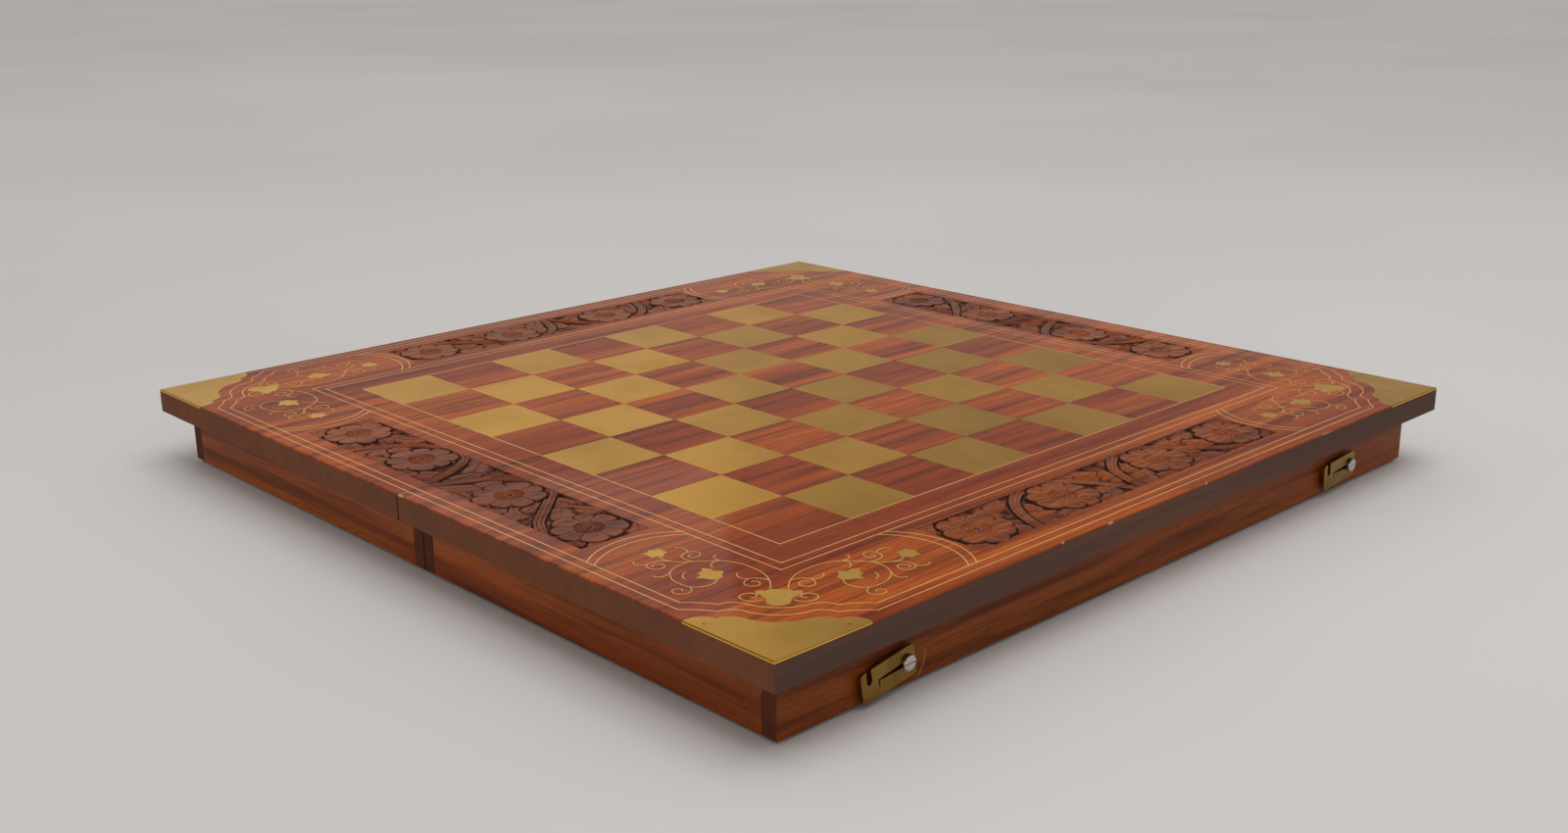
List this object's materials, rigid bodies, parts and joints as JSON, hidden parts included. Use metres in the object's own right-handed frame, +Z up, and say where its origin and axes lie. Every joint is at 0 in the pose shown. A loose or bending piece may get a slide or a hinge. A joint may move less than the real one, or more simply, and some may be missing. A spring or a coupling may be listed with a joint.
{
  "type": "folding chess box",
  "caption": "Folding wooden chess box lying open as a board, with flush brass squares, string and vine inlay, carved panels, brass corner plates, hinges and swinging latches.",
  "frame": {"origin": "on the resting plane, under the middle of the open board", "axes": "+X along the seam, +Y across the seam towards the box half, +Z up; the lid half with the latches lies at -Y"},
  "size_m": [0.601, 0.605, 0.0509],
  "materials": {
    "rosewood_board": "glossy lacquer over red-brown rosewood",
    "rosewood_wall": "satin lacquered dark rosewood",
    "carved_rosewood": "hand-carved rosewood with a dark ground",
    "inlay_brass": "satin olive-gold brass sheet",
    "string_brass": "thin bright brass strip",
    "fitting_brass": "lightly tarnished sheet brass",
    "screw_steel": "plated steel"
  },
  "bodies": {
    "box": {"box_top_board": "rosewood_board", "box_outer_wall": "rosewood_wall", "box_seam_wall": "rosewood_wall", "box_left_wall": "rosewood_wall", "box_right_wall": "rosewood_wall", "box_brass_squares": "inlay_brass", "box_brass_strings": "string_brass", "box_vine_wires": "string_brass", "box_vine_leaves": "inlay_brass", "box_corner_plates": "fitting_brass", "box_corner_pins": "fitting_brass", "box_carved_panel_outer": "carved_rosewood", "box_carved_panel_left": "carved_rosewood", "box_carved_panel_right": "carved_rosewood", "box_hinge_screws": "fitting_brass", "left_hinge_box_leaf": "fitting_brass", "right_hinge_box_leaf": "fitting_brass", "left_hinge_pin": "screw_steel", "right_hinge_pin": "screw_steel", "latch_pegs": "fitting_brass"},
    "lid": {"lid_top_board": "rosewood_board", "lid_outer_wall": "rosewood_wall", "lid_seam_wall": "rosewood_wall", "lid_left_wall": "rosewood_wall", "lid_right_wall": "rosewood_wall", "lid_brass_squares": "inlay_brass", "lid_brass_strings": "string_brass", "lid_vine_wires": "string_brass", "lid_vine_leaves": "inlay_brass", "lid_corner_plates": "fitting_brass", "lid_corner_pins": "fitting_brass", "lid_carved_panel_outer": "carved_rosewood", "lid_carved_panel_left": "carved_rosewood", "lid_carved_panel_right": "carved_rosewood", "lid_hinge_screws": "fitting_brass", "left_hinge_lid_leaf": "fitting_brass", "right_hinge_lid_leaf": "fitting_brass", "latch_washers": "fitting_brass", "latch_screws": "screw_steel"},
    "left_latch": {"left_latch_plate": "fitting_brass"},
    "right_latch": {"right_latch_plate": "fitting_brass"}
  },
  "joints": [
    {"name": "seam_hinge", "type": "hinge", "parent": "box", "child": "lid", "pos_m": [0, 0, 0.0019], "axis": [1, 0, 0], "range_deg": [0, 180]},
    {"name": "left_latch_pivot", "type": "hinge", "parent": "lid", "child": "left_latch", "pos_m": [-0.2045, -0.291, 0.01555], "axis": [0, -1, 0], "range_deg": [0, 162]},
    {"name": "right_latch_pivot", "type": "hinge", "parent": "lid", "child": "right_latch", "pos_m": [0.2115, -0.291, 0.01555], "axis": [0, -1, 0], "range_deg": [0, 172]}
  ]
}
